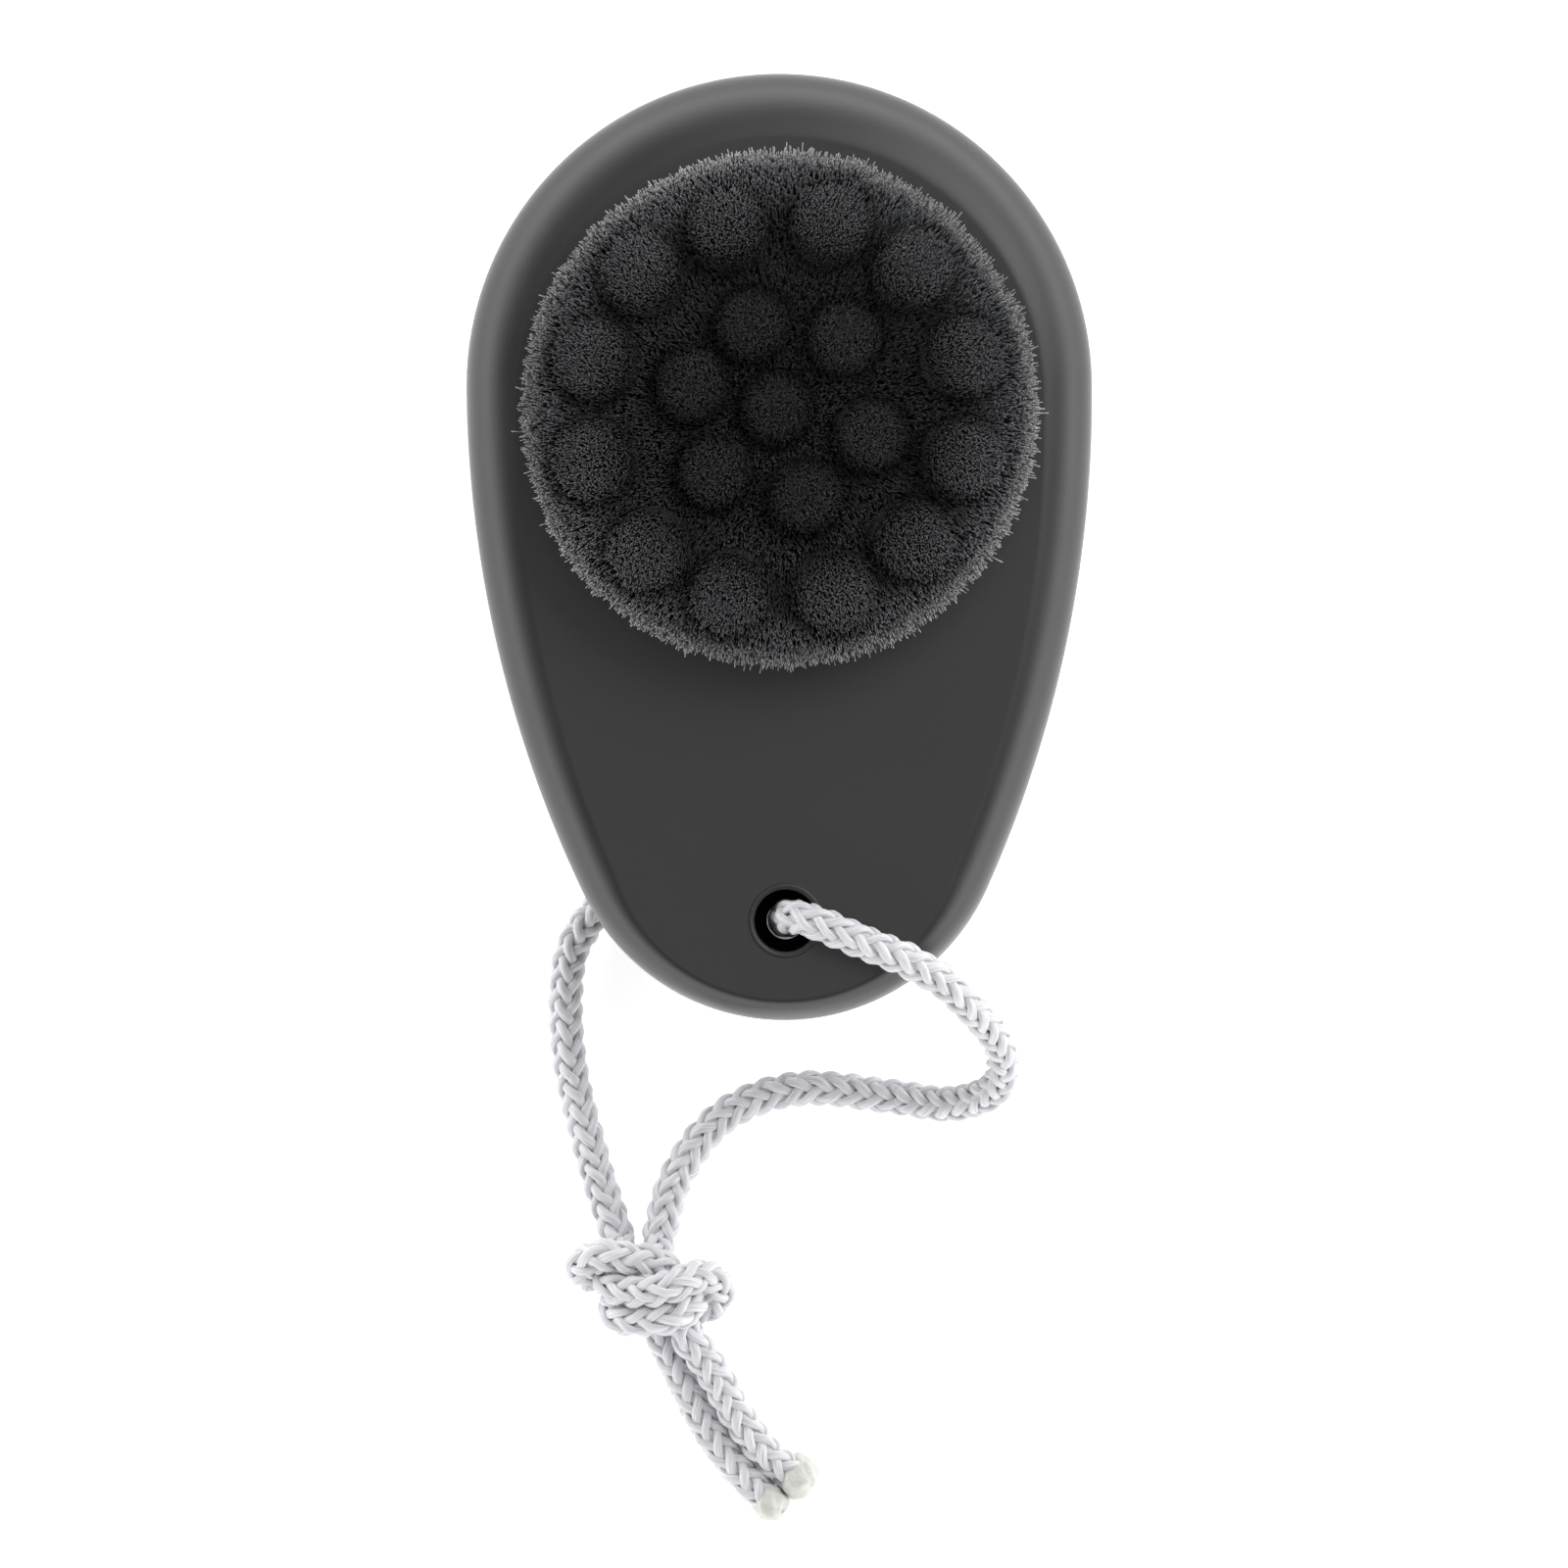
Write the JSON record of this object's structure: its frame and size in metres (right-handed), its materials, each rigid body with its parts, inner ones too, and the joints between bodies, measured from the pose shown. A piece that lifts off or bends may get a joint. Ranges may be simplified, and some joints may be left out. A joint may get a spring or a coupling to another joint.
{
  "type": "soft fibre grooming brush",
  "caption": "Egg-shaped hand-held grooming brush with a round soft-fibre head of raised tufts and a knotted braided cord loop through a hole near the tip.",
  "frame": {"origin": "on the brush head's axis, in the plane that the flat patch of the back rests on", "axes": "+Z out of the fibre head, +Y towards the broad end of the handle, -Y towards the tip and the cord, +X to the right when the fibres face the viewer and the broad end is up"},
  "size_m": [0.0628, 0.1453, 0.0392],
  "materials": {
    "soft_touch_shell": "soft-touch matte",
    "cup_plastic": "fine matte",
    "potting_resin": "satin",
    "fibre": "soft nylon fibre",
    "cord_braid": "braided, slight sheen"
  },
  "bodies": {
    "handle": {"front_shell": "soft_touch_shell", "back_shell": "soft_touch_shell", "brush_cup": "cup_plastic", "root_disc": "potting_resin", "fibre_bed": "fibre", "centre_tuft": "fibre", "inner_tuft_1": "fibre", "inner_tuft_2": "fibre", "inner_tuft_3": "fibre", "inner_tuft_4": "fibre", "inner_tuft_5": "fibre", "inner_tuft_6": "fibre", "outer_tuft_1": "fibre", "outer_tuft_2": "fibre", "outer_tuft_3": "fibre", "outer_tuft_4": "fibre", "outer_tuft_5": "fibre", "outer_tuft_6": "fibre", "outer_tuft_7": "fibre", "outer_tuft_8": "fibre", "outer_tuft_9": "fibre", "outer_tuft_10": "fibre", "outer_tuft_11": "fibre", "outer_tuft_12": "fibre", "hole_sleeve": "soft_touch_shell", "cord_front_root": "cord_braid", "cord_back_root": "cord_braid"},
    "loop": {"cord_front_leg": "cord_braid", "cord_back_leg": "cord_braid"},
    "knot": {"cord_knot": "cord_braid"},
    "front_tail": {"cord_front_tail": "cord_braid"},
    "back_tail": {"cord_back_tail": "cord_braid"}
  },
  "joints": [
    {"name": "loop_swing", "type": "hinge", "parent": "handle", "child": "loop", "pos_m": [-0.0194, -0.0501, 0.00185], "axis": [-0.832, 0.1501, -0.5341], "range_deg": [-30, 90]},
    {"name": "knot_fold", "type": "hinge", "parent": "loop", "child": "knot", "pos_m": [-0.01515, -0.0835, 0.00225], "axis": [-0.9796, 0, -0.2009], "range_deg": [-45, 60]},
    {"name": "front_tail_splay", "type": "hinge", "parent": "knot", "child": "front_tail", "pos_m": [-0.0104, -0.093, 0.0048], "axis": [0, 0, 1], "range_deg": [0, 35]},
    {"name": "back_tail_splay", "type": "hinge", "parent": "knot", "child": "back_tail", "pos_m": [-0.0125, -0.094, 0.00185], "axis": [0, 0, 1], "range_deg": [-35, 0]}
  ]
}
